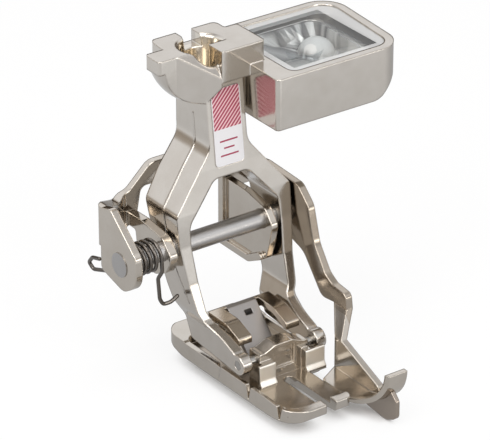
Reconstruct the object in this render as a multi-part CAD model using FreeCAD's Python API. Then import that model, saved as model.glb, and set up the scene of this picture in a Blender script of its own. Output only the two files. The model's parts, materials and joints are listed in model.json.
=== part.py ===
"""Patchwork presser foot with a hinged, sprung seam guide and a lens housing.

Millimetres.  The shapes are drawn from the needle point on the plane the sole
presses on, with +X the machine's right, +Y the back and +Z up.  They are exported
from the row's origin, the middle of the bar socket's mouth, with the same axes.
"""
import FreeCAD
import Part
import math
import os

V = FreeCAD.Vector

# Clearances and fits
GAP = 0.30
RUNNING = 0.04
SKIN = 0.02

# Seam allowances marked by the foot
QUARTER_INCH = 6.35
EIGHTH_INCH = 3.175

# Sole
SOLE_LEFT = -QUARTER_INCH
SOLE_RIGHT = 6.10
TOE_RIGHT = EIGHTH_INCH - 0.15
TOE_FRONT = -9.00
SOLE_BACK = 18.70
SOLE_STEP = 0.90
SOLE_TOP = 2.20
SOLE_TOP_FRONT = 1.90
HEEL_TOP = 2.35
HEEL_FRONT = 13.90
HEEL_FLARE = 0.45
TOE_LIFT = 0.45
TOE_CURVE_START = -4.60
HEEL_CURVE_START = 14.20
FLOOR = 1.15
RIM = 0.40
RIM_FRONT = 1.30
RECESS_BACK = 14.60
SLOT_LEFT = -0.95
SLOT_RIGHT = 0.55
SLOT_BACK = 0.60
NOTCH_WIDTH = 1.10
NOTCH_DEPTH = 0.60
NOTCH_BOTTOM = 0.35

# Sole pivot
PIVOT_Y = 2.40
PIVOT_Z = 4.00
PIN_R = 0.60
BRIDGE_HALF = 3.75
BRIDGE_FRONT = 1.35
BRIDGE_BACK = 3.60
BRIDGE_TOP = 5.05
BRIDGE_CROWN = 5.75
SHOULDER = 2.90
CROWN_HALF = 1.30
POST_L0 = -4.45
POST_L1 = -2.00
POST_R0 = 2.70
POST_R1 = 5.60
POST_FRONT = 0.30
POST_T = 0.45
POST_TOP = 4.00

# Fork
LEG_THICK = 1.80
LEG_OUT_BEND = 8.70
FOOT_OUT = 6.45
FOOT_IN = 5.00
FOOT_BOSS_R = 1.30
SHANK_HALF = 2.85
SHANK_BACK = 20.70
NECK_Z = 36.50
SEAM_H = 0.07
SEAM_W = 0.26

# Hinge shaft of the guide
SHAFT_Y = 13.60
SHAFT_Z = 16.50
SHAFT_R = 1.28
RIVET_R = 1.62
RIVET_H = 0.12

# Head
BORE_X = -1.50
BORE_Y = 16.90
HEAD_TOP = 41.50
HEAD_H = 4.30
BORE_R = 3.05
BORE_R_BOTTOM = 2.00
BORE_DEPTH = 5.60
BORE_LIP = 0.30
ARM_H = 1.90
ARM_FRONT = -1.60
HEAD_FRONT = -3.50
HEAD_LEFT = -4.90
HEAD_RIGHT = 7.10
HEAD_REAR = 4.60
ARM_LEFT = -7.50
ARM_BACK = 1.40
KEY_X = 0.66
RAMP_DROP = 3.70
BOWL_R = 6.80
BOWL_H = 5.30

# Lens housing
BOX_LEFT = 3.40
BOX_RIGHT = 22.90
BOX_FRONT = 7.60
BOX_BACK = 24.60
BOX_TOP = 38.65
BOX_H = 7.00
BOX_WALL = 1.10
BOX_LEDGE = 0.90
LENS_LEFT = 6.40
COVER_T = 1.10
COVER_SEAT = 1.30
BOX_FLOOR = 1.20
DOME_R = 2.50
BOX_FLARE = 1.20
LENS_END = 3.00
CORNER_FRONT = 3.40
CORNER_BACK = 3.60

# Reflector tray
TRAY_CORNER = 1.62
TRAY_RIM = 0.35
TRAY_SLOPE = 2.60
TRAY_FLOOR = 0.50
TRAY_UNDER_COVER = 0.10

# Guide yoke
SHEET = 1.00
PLATE_OUT = -16.40
WALL_Y = 21.20
EAR_L0 = -10.20
EAR_L1 = -9.00
EAR_R0 = 5.10
EAR_R1 = 6.10
CUP_X = 4.60
PLATE_BACK = 18.30
ARM_X = LEG_OUT_BEND + GAP
WEB_X0 = 6.55
WEB_X1 = 7.45
TONGUE_X0 = TOE_RIGHT + GAP
TONGUE_X1 = 8.30
TONGUE_Z = 0.25
TONGUE_T = 0.70
TONGUE_BACK = -0.30
CURL_START = -7.70
CURL_R = 5.50
CURL_ANGLE = 89.0
FIN_X0 = QUARTER_INCH
FIN_T = 0.60

# Torsion spring
WIRE_R = 0.26
COIL_R = 1.95
COIL_TURNS = 4
COIL_X0 = -15.00
COIL_PITCH = 0.80
COIL_STEPS = 12
WIRE_SIDES = 8

# Label plate and sole spring
LABEL_HALF = 2.15
LABEL_Z0 = 26.10
LABEL_Z1 = 36.20
LABEL_T = 0.25
LEAF_T = 0.40
LEAF_WEB_HALF = 2.20
LEAF_BASE_Y = 4.10
LEAF_FOLD_Y = 11.20
LEAF_FOLD_Z = 7.20
STRAP_IN = 2.65
STRAP_T = 0.90
STRAP_FRONT = 4.55


def corner(prev, here, after, radius):
    """Two tangent points and a mid point of the arc that rounds a corner."""
    ax = prev[0] - here[0]
    ay = prev[1] - here[1]
    bx = after[0] - here[0]
    by = after[1] - here[1]
    la = math.hypot(ax, ay)
    lb = math.hypot(bx, by)
    ax, ay, bx, by = ax / la, ay / la, bx / lb, by / lb
    half = math.acos(max(-1.0, min(1.0, ax * bx + ay * by))) / 2.0
    reach = radius / math.tan(half)
    mx, my = ax + bx, ay + by
    lm = math.hypot(mx, my)
    depth = radius / math.sin(half) - radius
    start = (here[0] + ax * reach, here[1] + ay * reach)
    end = (here[0] + bx * reach, here[1] + by * reach)
    mid = (here[0] + mx / lm * depth, here[1] + my / lm * depth)
    return start, mid, end


def outline_face(points, place):
    """Face of a closed outline; a third value on a point rounds its corner."""
    count = len(points)
    stops = []
    for i in range(count):
        here = points[i]
        radius = here[2] if len(here) > 2 else 0.0
        if radius > 0.0:
            stops.append(corner(points[i - 1], here, points[(i + 1) % count], radius))
        else:
            stops.append((here, None, here))
    edges = []
    for i in range(count):
        start, mid, end = stops[i]
        if mid is not None:
            edges.append(Part.Arc(place(*start[:2]), place(*mid), place(*end[:2])).toShape())
        following = stops[(i + 1) % count][0]
        a = place(*end[:2])
        b = place(*following[:2])
        if a.distanceToPoint(b) > 1e-6:
            edges.append(Part.makeLine(a, b))
    return Part.Face(Part.Wire(edges))


def prism_x(points, x0, x1):
    """Outline in (Y, Z) carried from x0 to x1."""
    return outline_face(points, lambda y, z: V(x0, y, z)).extrude(V(x1 - x0, 0, 0))


def prism_y(points, y0, y1):
    """Outline in (X, Z) carried from y0 to y1."""
    return outline_face(points, lambda x, z: V(x, y0, z)).extrude(V(0, y1 - y0, 0))


def prism_z(points, z0, z1):
    """Outline in (X, Y) carried from z0 to z1."""
    return outline_face(points, lambda x, y: V(x, y, z0)).extrude(V(0, 0, z1 - z0))


def box(x0, x1, y0, y1, z0, z1):
    """Block between two corners."""
    return Part.makeBox(x1 - x0, y1 - y0, z1 - z0, V(x0, y0, z0))


def rod_x(radius, x0, x1, y, z):
    """Round bar along X."""
    return Part.makeCylinder(radius, x1 - x0, V(x0, y, z), V(1, 0, 0))


def rounded_box(x0, x1, y0, y1, z0, z1, radius):
    """Block with rounded upright corners."""
    points = [(x0, y0, radius), (x1, y0, radius), (x1, y1, radius), (x0, y1, radius)]
    return prism_z(points, z0, z1)


def mirrored(points):
    """Right half of an (X, Z) outline, top to bottom, closed by its mirror image."""
    left = [(-p[0],) + tuple(p[1:]) for p in reversed(points)]
    return list(points) + left


def make_sole():
    """Sole: side rims, recessed floor, curled toe and heel, bridge, two posts."""
    plan = prism_z([(SOLE_LEFT, TOE_FRONT, 3.2), (TOE_RIGHT, TOE_FRONT, 0.9),
                    (TOE_RIGHT, SOLE_STEP, 0.4), (SOLE_RIGHT, SOLE_STEP, 1.2),
                    (SOLE_RIGHT, SOLE_BACK, 3.0), (SOLE_LEFT - HEEL_FLARE, SOLE_BACK, 3.0)], 0.0, 5.0)
    side = prism_x([(TOE_FRONT, TOE_LIFT, 0.5), (TOE_CURVE_START, 0.0, 5.0),
                    (HEEL_CURVE_START, 0.0, 5.0), (SOLE_BACK, 1.2, 0.5),
                    (SOLE_BACK, HEEL_TOP, 0.3), (HEEL_FRONT, HEEL_TOP),
                    (HEEL_FRONT - 0.4, SOLE_TOP), (-3.0, SOLE_TOP),
                    (TOE_FRONT, SOLE_TOP_FRONT, 0.2)],
                   SOLE_LEFT - 1, SOLE_RIGHT + 1)
    body = plan.common(side)
    recess = prism_z([(SOLE_LEFT + RIM, TOE_FRONT + RIM_FRONT, 2.4),
                      (SOLE_RIGHT + 1, TOE_FRONT + RIM_FRONT), (SOLE_RIGHT + 1, RECESS_BACK),
                      (SOLE_LEFT + RIM, RECESS_BACK, 1.2)], FLOOR, 6.0)
    keep = box(SOLE_RIGHT - RIM, SOLE_RIGHT + 2, SOLE_STEP - 1, RECESS_BACK + 1, 0.0, 6.0)
    body = body.cut(recess.cut(keep))
    slot_mid = (SLOT_LEFT + SLOT_RIGHT) / 2.0
    slot_half = (SLOT_RIGHT - SLOT_LEFT) / 2.0
    slot = box(SLOT_LEFT, SLOT_RIGHT, TOE_FRONT - 1, SLOT_BACK - slot_half, -1, 5)
    slot = slot.fuse(Part.makeCylinder(slot_half, 6, V(slot_mid, SLOT_BACK - slot_half, -1)))
    body = body.cut(slot)
    for y in (-QUARTER_INCH, 0.0, QUARTER_INCH):
        half = NOTCH_WIDTH / 2.0
        notch = prism_x([(y - half, SOLE_TOP + 0.1), (y - 0.08, NOTCH_BOTTOM), (y + 0.08, NOTCH_BOTTOM),
                         (y + half, SOLE_TOP + 0.1)], SOLE_LEFT - 0.2, SOLE_LEFT + NOTCH_DEPTH)
        body = body.cut(notch)
    bridge = prism_y([(-BRIDGE_HALF, FLOOR - 0.3), (BRIDGE_HALF, FLOOR - 0.3),
                      (BRIDGE_HALF, BRIDGE_TOP, 0.3), (SHOULDER, BRIDGE_TOP, 1.0),
                      (CROWN_HALF, BRIDGE_CROWN, 1.0), (-CROWN_HALF, BRIDGE_CROWN, 1.0),
                      (-SHOULDER, BRIDGE_TOP, 1.0), (-BRIDGE_HALF, BRIDGE_TOP, 0.3)],
                     BRIDGE_FRONT, BRIDGE_BACK)
    scoop = box(-1.5, 1.5, BRIDGE_FRONT - 1, BRIDGE_FRONT + 0.35, FLOOR + 1.2, BRIDGE_CROWN - 0.55)
    bridge = bridge.cut(scoop)
    arch = prism_x([(BRIDGE_FRONT - 1, FLOOR + 1.0), (BRIDGE_BACK + 1, FLOOR + 1.0),
                    (BRIDGE_BACK + 1, 7.0), (BRIDGE_BACK + 0.01, 7.0),
                    (BRIDGE_BACK + 0.01, 2.2), (BRIDGE_FRONT - 1, 2.2)], -0.2, 0.2)
    body = body.fuse(bridge.cut(arch))
    for x0, x1 in ((POST_L0, POST_L1), (POST_R0, POST_R1)):
        slab = prism_x([(POST_FRONT + POST_T, FLOOR - 0.3), (POST_FRONT - 0.4, FLOOR - 0.3),
                        (POST_FRONT - 0.4, FLOOR + 0.15), (POST_FRONT, FLOOR + 0.75, 0.5),
                        (POST_FRONT, POST_TOP, 0.2), (POST_FRONT + POST_T, POST_TOP)], x0, x1)
        root = box(max(x0, -BRIDGE_HALF), min(x1, BRIDGE_HALF), POST_FRONT + POST_T - 0.1,
                   BRIDGE_FRONT + 0.3, FLOOR - 0.3, POST_TOP)
        body = body.fuse([slab, root])
    body = body.cut(rod_x(PIN_R + RUNNING, -8, 8, PIVOT_Y, PIVOT_Z))
    return body.removeSplitter()


def make_sole_pin():
    """Pivot pin held in the two feet of the fork."""
    return rod_x(PIN_R, -FOOT_OUT + 0.05, FOOT_OUT - 0.05, PIVOT_Y, PIVOT_Z)


def make_sole_spring():
    """Bent leaf: flat base, sloping web with a square hole, two straps forward."""
    base_y, fold_y, fold_z = LEAF_BASE_Y, LEAF_FOLD_Y, LEAF_FOLD_Z
    strap_out = FOOT_IN - GAP
    web = prism_x([(base_y, FLOOR), (base_y + 1.3, FLOOR, 0.6), (fold_y, fold_z - STRAP_T, 0.4),
                   (fold_y, fold_z, 0.3), (fold_y - 0.7, fold_z, 0.3),
                   (base_y + 1.1, FLOOR + LEAF_T, 0.6), (base_y, FLOOR + LEAF_T)],
                  -LEAF_WEB_HALF, LEAF_WEB_HALF)
    web = web.cut(box(-0.1, 1.0, fold_y - 1.8, fold_y - 1.3, 1.5, fold_z + 1.0))
    rear = box(-strap_out, strap_out, fold_y - 0.5, fold_y, fold_z - 1.4, fold_z)
    leaf = web.fuse(rear)
    for x0, x1 in ((-strap_out, -STRAP_IN), (STRAP_IN, strap_out)):
        strap = prism_x([(fold_y, fold_z), (7.5, fold_z, 3.0), (STRAP_FRONT, fold_z - 1.1, 0.3),
                         (STRAP_FRONT, fold_z - 2.0), (STRAP_FRONT + LEAF_T, fold_z - 2.0),
                         (7.4, fold_z - STRAP_T, 3.0), (fold_y, fold_z - STRAP_T)], x0, x1)
        leaf = leaf.fuse(strap)
    return leaf.removeSplitter()


def ramp():
    """Block above the sloping front of the head, left of the key."""
    slope = RAMP_DROP / (ARM_FRONT - HEAD_FRONT)
    return prism_x([(BORE_Y + ARM_FRONT, HEAD_TOP),
                    (BORE_Y + HEAD_FRONT - 2.0, HEAD_TOP - RAMP_DROP - 2.0 * slope),
                    (BORE_Y + HEAD_FRONT - 2.0, HEAD_TOP + 1.0),
                    (BORE_Y + ARM_FRONT, HEAD_TOP + 1.0)], BORE_X + HEAD_LEFT, BORE_X + KEY_X)


def make_head():
    """Cross-shaped head with a keyed cone socket, open to the front and back."""
    def at(points):
        return [(BORE_X + p[0], BORE_Y + p[1]) + tuple(p[2:]) for p in points]

    plan = at([(HEAD_LEFT, ARM_FRONT), (KEY_X, HEAD_FRONT), (HEAD_RIGHT, HEAD_FRONT, 0.3),
               (HEAD_RIGHT, 2.5, 0.4), (5.2, 2.5, 0.3), (5.2, HEAD_REAR, 0.8),
               (-4.6, HEAD_REAR, 0.8), (HEAD_LEFT, ARM_BACK)])
    head = prism_z(plan, HEAD_TOP - HEAD_H, HEAD_TOP)
    arm = prism_z(at([(ARM_LEFT, ARM_FRONT, 0.4), (HEAD_LEFT + 0.9, ARM_FRONT),
                      (HEAD_LEFT + 0.9, ARM_BACK), (ARM_LEFT, ARM_BACK, 0.4)]),
                  HEAD_TOP - ARM_H, HEAD_TOP)
    return head.cut(ramp()).fuse(arm)


def make_bowl():
    """Turned neck between head and shank, cut off behind the shank's front face."""
    top = HEAD_TOP - ARM_H + 0.1
    foot = top - BOWL_H
    edge = Part.makeLine(V(0, 0, top), V(BOWL_R, 0, top))
    arc = Part.Arc(V(BOWL_R, 0, top), V(BOWL_R * 0.80, 0, foot + BOWL_H * 0.40),
                   V(SHANK_HALF - 0.6, 0, foot)).toShape()
    base = Part.makeLine(V(SHANK_HALF - 0.6, 0, foot), V(0, 0, foot))
    axis = Part.makeLine(V(0, 0, foot), V(0, 0, top))
    face = Part.Face(Part.Wire([edge, arc, base, axis]))
    bowl = face.revolve(V(0, 0, 0), V(0, 0, 1), 360)
    bowl.translate(V(BORE_X, BORE_Y, 0))
    rear = box(-12, BORE_X + 5.0, BORE_Y + ARM_FRONT, BORE_Y + 4.4, 20, 45)
    front = prism_y([(-12, 20), (-SHANK_HALF, 20), (-SHANK_HALF, NECK_Z - 1.9),
                     (BORE_X + KEY_X, NECK_Z + 0.1), (BORE_X + KEY_X, 45), (-12, 45)],
                    BORE_Y + HEAD_FRONT, BORE_Y)
    plan = prism_z([(BORE_X - 12, BORE_Y + ARM_FRONT), (BORE_X + HEAD_LEFT, BORE_Y + ARM_FRONT),
                    (BORE_X + KEY_X, BORE_Y + HEAD_FRONT), (BORE_X + KEY_X, BORE_Y),
                    (BORE_X - 12, BORE_Y)], 20, 45)
    return bowl.common(rear.fuse(front.common(plan))).cut(ramp())


def make_fork():
    """Leaning fork: front outline and side outline crossed with each other."""
    front_half = [(SHANK_HALF, NECK_Z + 1.0), (SHANK_HALF, 28.5, 3.0),
                  (LEG_OUT_BEND, 21.3, 1.2), (LEG_OUT_BEND - 0.1, 17.0, 4.0),
                  (7.6, 8.4, 3.0), (FOOT_OUT, 6.3, 1.5), (FOOT_OUT, 1.5)]
    solid = prism_y(mirrored(front_half), -2.0, 26.0)
    inner_half = [(2.6, 24.7, 1.6), (LEG_OUT_BEND - LEG_THICK, 19.7, 2.5),
                  (LEG_OUT_BEND - LEG_THICK, 16.5, 6.0), (6.35, 8.4, 2.0),
                  (FOOT_IN, 6.1, 1.0), (FOOT_IN, 0.5)]
    arch = prism_y(mirrored(inner_half), -3.0, 27.0)
    side = prism_x([(14.35, NECK_Z + 1.0), (12.95, 26.0, 6.0), (12.15, 21.3, 4.0),
                    (11.60, 17.0, 6.0), (10.6, 12.3, 4.0), (8.9, 7.6), (8.3, 7.2, 0.4),
                    (PIVOT_Y + 0.6, PIVOT_Z + FOOT_BOSS_R - 0.1, 1.0), (PIVOT_Y, PIVOT_Z),
                    (PIVOT_Y, PIVOT_Z - FOOT_BOSS_R), (12.4, 3.5, 0.6), (15.8, 10.4, 5.0),
                    (18.6, 19.5, 3.0), (20.2, 24.5, 3.0), (SHANK_BACK, 30.0, 3.0),
                    (SHANK_BACK, NECK_Z + 1.0)], -12.0, 12.0)
    boss = rod_x(FOOT_BOSS_R, -12.0, 12.0, PIVOT_Y, PIVOT_Z)
    fork = solid.cut(arch).common(side.fuse(boss))
    seam = prism_y(mirrored([(p[0] + SEAM_H,) + tuple(p[1:]) for p in front_half]), -2.0, 26.0)
    band = prism_x([(17.1, NECK_Z - 4.0), (16.3, 26.0, 6.0), (15.4, 21.3, 4.0), (13.6, 14.0, 6.0),
                    (11.2, 9.4), (11.2 - SEAM_W, 9.4), (13.6 - SEAM_W, 14.0, 6.0),
                    (15.4 - SEAM_W, 21.3, 4.0), (16.3 - SEAM_W, 26.0, 6.0),
                    (17.1 - SEAM_W, NECK_Z - 4.0)], -12.0, 12.0)
    return fork.fuse(seam.cut(arch).common(band))


def make_housing():
    """Lens housing cast on the right of the shank, open at the top."""
    x0, x1, y0, y1 = BOX_LEFT, BOX_RIGHT, BOX_FRONT, BOX_BACK
    z0 = BOX_TOP - BOX_H
    plan = prism_z([(x0, y0, 0.5), (x1, y0, CORNER_FRONT), (x1 + BOX_FLARE, y1, CORNER_BACK),
                    (x0, y1, 1.5)], z0, BOX_TOP)
    under = prism_y([(x0 - 1, z0), (x1 - 3.6, z0, 2.5), (x1 + 0.4, z0 + 3.6, 2.5),
                     (x1 + 1.6, BOX_TOP), (x0 - 1, BOX_TOP)], y0 - 1, y1 + 1)
    block = plan.common(under)
    w = BOX_WALL
    seat = prism_z([(LENS_LEFT, y0 + w, 1.2), (x1 - w, y0 + w, 2.4),
                    (x1 + BOX_FLARE - w, y1 - w, 2.6), (LENS_LEFT, y1 - w, 1.2)],
                   BOX_TOP - COVER_SEAT, BOX_TOP + 1)
    w = BOX_WALL + BOX_LEDGE
    pit = prism_z([(LENS_LEFT + BOX_LEDGE, y0 + w, 1.2), (x1 - LENS_END, y0 + w, 1.6),
                   (x1 - LENS_END, y1 - w, 1.6), (LENS_LEFT + BOX_LEDGE, y1 - w, 1.2)],
                  z0 + BOX_FLOOR, BOX_TOP + 1)
    return block.cut(seat).cut(pit)


def make_foot_body():
    """Casting: head, neck, shank, fork and lens housing in one piece."""
    body = make_fork().fuse([make_bowl(), make_head(), make_housing()])
    rib = box(0.0, BOX_LEFT + 0.5, 15.2, 19.2, BOX_TOP - BOX_H + 0.6, HEAD_TOP - HEAD_H + 0.5)
    body = body.fuse(rib)
    socket = Part.makeCone(BORE_R_BOTTOM, BORE_R, BORE_DEPTH, V(BORE_X, BORE_Y, HEAD_TOP - BORE_DEPTH))
    lip = Part.makeCone(BORE_R - 0.01, BORE_R + BORE_LIP, BORE_LIP,
                        V(BORE_X, BORE_Y, HEAD_TOP - BORE_LIP))
    key = box(BORE_X + KEY_X, BORE_X + 8, BORE_Y - 8, BORE_Y - 0.6, HEAD_TOP - HEAD_H, HEAD_TOP + 1)
    body = body.cut(socket.fuse(lip).cut(key))
    body = body.cut(box(BORE_X - 0.8, BORE_X + 1.6, BORE_Y, BORE_Y + 6, HEAD_TOP - 1.6, HEAD_TOP + 1))
    body = body.cut(rod_x(SHAFT_R + RUNNING, -12, 12, SHAFT_Y, SHAFT_Z))
    body = body.cut(rod_x(PIN_R, -8, 8, PIVOT_Y, PIVOT_Z))
    body = body.cut(make_label_plate())
    return body.removeSplitter()


def shank_front(z):
    """Y of the shank's leaning front face at a height."""
    top_z = NECK_Z + 1.0
    return 14.35 + (12.95 - 14.35) * (top_z - z) / (top_z - 26.0)


def make_label_plate():
    """Thin label plate let into the front of the shank."""
    y0 = shank_front(LABEL_Z0)
    y1 = shank_front(LABEL_Z1)
    out = 0.08
    slab = prism_x([(y0 - out, LABEL_Z0), (y1 - out, LABEL_Z1),
                    (y1 + LABEL_T - out, LABEL_Z1), (y0 + LABEL_T - out, LABEL_Z0)],
                   -LABEL_HALF, LABEL_HALF)
    shape = prism_y([(-LABEL_HALF, LABEL_Z0, 0.5), (LABEL_HALF, LABEL_Z0, 0.5),
                     (LABEL_HALF, LABEL_Z1, 0.5), (-LABEL_HALF, LABEL_Z1, 0.5)], 8.0, 18.0)
    return slab.common(shape)


def make_lens_cover():
    """Clear cover plate seated in the rim, with a dome hanging under it."""
    x1, y0, y1 = BOX_RIGHT, BOX_FRONT, BOX_BACK
    w = BOX_WALL + SKIN
    plate = prism_z([(LENS_LEFT + SKIN, y0 + w, 1.2), (x1 - w, y0 + w, 2.4),
                     (x1 + BOX_FLARE - w, y1 - w, 2.6), (LENS_LEFT + SKIN, y1 - w, 1.2)],
                    BOX_TOP - COVER_SEAT, BOX_TOP - COVER_SEAT + COVER_T)
    cx = (LENS_LEFT + x1 - 2.0) / 2.0
    cy = (y0 + y1) / 2.0
    ball = Part.makeSphere(DOME_R, V(cx, cy, BOX_TOP - COVER_SEAT + 0.2))
    return plate.fuse(ball.common(box(-30, 30, 0, 40, 30, BOX_TOP - COVER_SEAT + 0.1)))


def make_reflector():
    """Polished tray under the cover: four sloping facets and a flat bottom."""
    w = BOX_WALL + BOX_LEDGE + SKIN
    x0, x1 = LENS_LEFT + BOX_LEDGE + SKIN, BOX_RIGHT - LENS_END - SKIN
    y0, y1 = BOX_FRONT + w, BOX_BACK - w
    z0 = BOX_TOP - BOX_H + BOX_FLOOR
    z1 = BOX_TOP - COVER_SEAT - TRAY_UNDER_COVER
    tray = rounded_box(x0, x1, y0, y1, z0, z1, TRAY_CORNER)

    def ring(margin, z):
        return Part.makePolygon([V(x0 + margin, y0 + margin, z), V(x1 - margin, y0 + margin, z),
                                 V(x1 - margin, y1 - margin, z), V(x0 + margin, y1 - margin, z),
                                 V(x0 + margin, y0 + margin, z)])

    hollow = Part.makeLoft([ring(TRAY_RIM + TRAY_SLOPE, z0 + TRAY_FLOOR),
                            ring(TRAY_RIM, z1 + 0.001)], True, True)
    return tray.cut(hollow)


def make_shaft():
    """Hinge shaft, riveted over in the yoke's plate at one end and its arm at the other."""
    shaft = rod_x(SHAFT_R, PLATE_OUT, ARM_X + SHEET, SHAFT_Y, SHAFT_Z)
    left = rod_x(RIVET_R, PLATE_OUT - RIVET_H, PLATE_OUT, SHAFT_Y, SHAFT_Z)
    right = rod_x(RIVET_R, ARM_X + SHEET, ARM_X + SHEET + RIVET_H, SHAFT_Y, SHAFT_Z)
    return shaft.fuse([left, right]).removeSplitter()


def tongue_profile():
    """Side outline of the tongue: flat strip that curls up at the front."""
    angle = math.radians(CURL_ANGLE)
    half = angle / 2.0
    centre_z = TONGUE_Z + CURL_R
    inner = CURL_R - TONGUE_T

    def on(radius, turn):
        return V(0, CURL_START - radius * math.sin(turn), centre_z - radius * math.cos(turn))

    edges = [Part.makeLine(V(0, TONGUE_BACK, TONGUE_Z), on(CURL_R, 0.0)),
             Part.Arc(on(CURL_R, 0.0), on(CURL_R, half), on(CURL_R, angle)).toShape(),
             Part.makeLine(on(CURL_R, angle), on(inner, angle)),
             Part.Arc(on(inner, angle), on(inner, half), on(inner, 0.0)).toShape(),
             Part.makeLine(on(inner, 0.0), V(0, TONGUE_BACK, TONGUE_Z + TONGUE_T)),
             Part.makeLine(V(0, TONGUE_BACK, TONGUE_Z + TONGUE_T), V(0, TONGUE_BACK, TONGUE_Z))]
    return Part.Face(Part.Wire(edges))


def make_tongue():
    """Presser tongue of the guide: flat by the toe, curled up and pointed in front."""
    strip = tongue_profile().extrude(V(TONGUE_X1 - TONGUE_X0, 0, 0))
    strip.translate(V(TONGUE_X0, 0, 0))
    tip = CURL_START - CURL_R
    plan = prism_z([(TONGUE_X0, TONGUE_BACK - 2.0, 0.5), (TONGUE_X0, CURL_START + 0.4, 1.5),
                    (TONGUE_X1 - 2.4, tip - 1.0), (TONGUE_X1, tip - 1.0),
                    (TONGUE_X1, -6.5, 0.5), (WEB_X1, -5.6, 0.3), (WEB_X1, TONGUE_BACK - 0.2),
                    (WEB_X0, TONGUE_BACK - 0.2)], -2.0, 12.0)
    return strip.common(plan)


def make_yoke_wall():
    """Back wall: slanted behind the left plate, then straight across behind the fork."""
    back = WALL_Y + SHEET
    strip = prism_z([(PLATE_OUT, PLATE_BACK - 1.2), (PLATE_OUT + SHEET, PLATE_BACK - 1.2, 0.4),
                     (EAR_L0 - 0.4, WALL_Y, 1.5), (ARM_X + SHEET, WALL_Y),
                     (ARM_X + SHEET, back), (EAR_L0 - 0.8, back, 2.5),
                     (PLATE_OUT, PLATE_BACK + 0.1, 0.8)], 5.0, 30.0)
    front = prism_y([(PLATE_OUT - 1, 17.4), (PLATE_OUT - 1, 22.9), (-15.6, 22.9, 1.0),
                     (-12.2, 21.2, 2.0), (-9.8, 21.6, 2.0), (-6.4, 24.8, 2.0),
                     (4.5, 24.8, 2.0), (8.6, 21.2, 1.5), (ARM_X + 2, 21.0),
                     (ARM_X + 2, 17.6), (EAR_R1, 17.6), (EAR_R1, 9.6), (CUP_X, 9.6),
                     (CUP_X, 20.6, 1.5), (2.5, 21.8, 1.5), (-8.0, 21.8, 1.0),
                     (-8.8, 17.3, 0.5), (-10.6, 16.6, 0.5), (-13.0, 17.4)], 10.0, 30.0)
    return strip.common(front)


def make_guide_yoke():
    """Pressed yoke: left plate, back wall, two ears, right arm, web and tongue."""
    plate = prism_x([(PLATE_BACK - 0.8, 22.9), (15.6, 23.4, 0.8), (10.1, 18.8, 1.6),
                     (9.8, 14.8, 3.0), (12.8, 13.0, 2.0), (PLATE_BACK - 0.5, 14.2, 0.8),
                     (PLATE_BACK - 0.5, 17.5)], PLATE_OUT, PLATE_OUT + SHEET)
    back = WALL_Y + SHEET
    ear_left = prism_x([(back - 0.1, 17.2), (back - 0.1, 18.9), (18.0, 19.0, 1.0),
                        (13.2, 18.4, 1.5), (11.2, 16.2, 1.5), (12.6, 13.8, 1.4),
                        (15.2, 12.6, 1.4), (18.9, 14.4, 0.8), (19.3, 17.2, 0.4)],
                       EAR_L0, EAR_L1)
    ear_right = prism_x([(back - 0.1, 9.6), (back - 0.1, 19.2), (16.8, 19.2, 1.0),
                         (12.6, 18.4, 2.0), (11.0, 16.4, 1.5), (11.6, 13.6, 2.0),
                         (12.4, 11.2, 1.2), (15.6, 9.6, 1.2)], EAR_R0, EAR_R1)
    cup = prism_x([(back - 0.1, 9.6), (back - 0.1, 10.5), (15.9, 10.5, 0.8),
                   (13.3, 11.9, 0.6), (12.4, 11.2, 0.4), (15.6, 9.6, 1.2)], CUP_X, EAR_R1)
    arm = prism_x([(back - 0.1, 21.0), (18.2, 21.6, 2.0), (11.0, 21.3, 1.6),
                   (8.7, 19.2, 2.0), (7.3, 14.3, 3.0), (5.0, 11.1, 2.0), (3.4, 10.2, 1.0),
                   (0.6, 9.9, 0.8), (0.3, 7.9), (3.0, 7.9), (5.6, 7.6, 1.5), (9.6, 12.4, 3.0),
                   (14.6, 13.8, 1.6), (17.2, 17.6, 1.5), (back - 0.1, 17.6)],
                  ARM_X, ARM_X + SHEET)

    def section(x0, x1, y0, y1, z):
        return Part.makePolygon([V(x0, y0, z), V(x1, y0, z), V(x1, y1, z), V(x0, y1, z),
                                 V(x0, y0, z)])

    neck = Part.makeLoft([section(ARM_X, ARM_X + SHEET, 0.3, 3.0, 7.9),
                          section(WEB_X0, WEB_X1, -1.9, -0.5, 5.2)], True, True)
    web = prism_x([(-0.5, TONGUE_Z + 0.1), (-0.5, 5.2), (-1.9, 5.2), (-9.6, 2.2, 0.8),
                   (-10.0, TONGUE_Z + 1.0), (-8.2, TONGUE_Z + 0.1)], WEB_X0, WEB_X1)
    yoke = plate.fuse([make_yoke_wall(), ear_left, ear_right, cup, arm, neck, web])
    yoke = yoke.fuse(make_tongue())
    return yoke.cut(rod_x(SHAFT_R, -20, 20, SHAFT_Y, SHAFT_Z))


def make_guide_fin():
    """Fin that hangs under the tongue and follows the fabric edge."""
    fin = prism_x([(-7.0, TONGUE_Z + 0.4), (-7.2, -1.1, 0.4), (-11.4, -1.5, 2.0),
                   (-13.5, -0.6, 1.0), (-13.5, 1.9, 0.8), (-12.2, 3.2), (-10.0, 2.0)],
                  FIN_X0, FIN_X0 + FIN_T)
    ski = tongue_profile().extrude(V(TONGUE_X1 - TONGUE_X0, 0, 0))
    ski.translate(V(TONGUE_X0, 0, 0))
    above = prism_x([(TONGUE_BACK, TONGUE_Z + TONGUE_T - 0.1), (CURL_START, TONGUE_Z + 0.1),
                     (-10.8, TONGUE_Z + 1.0), (-12.8, TONGUE_Z + 3.0), (-12.8, 9.0),
                     (TONGUE_BACK, 9.0)], FIN_X0 - 1, FIN_X0 + FIN_T + 1)
    return fin.cut(ski).cut(above)


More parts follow.
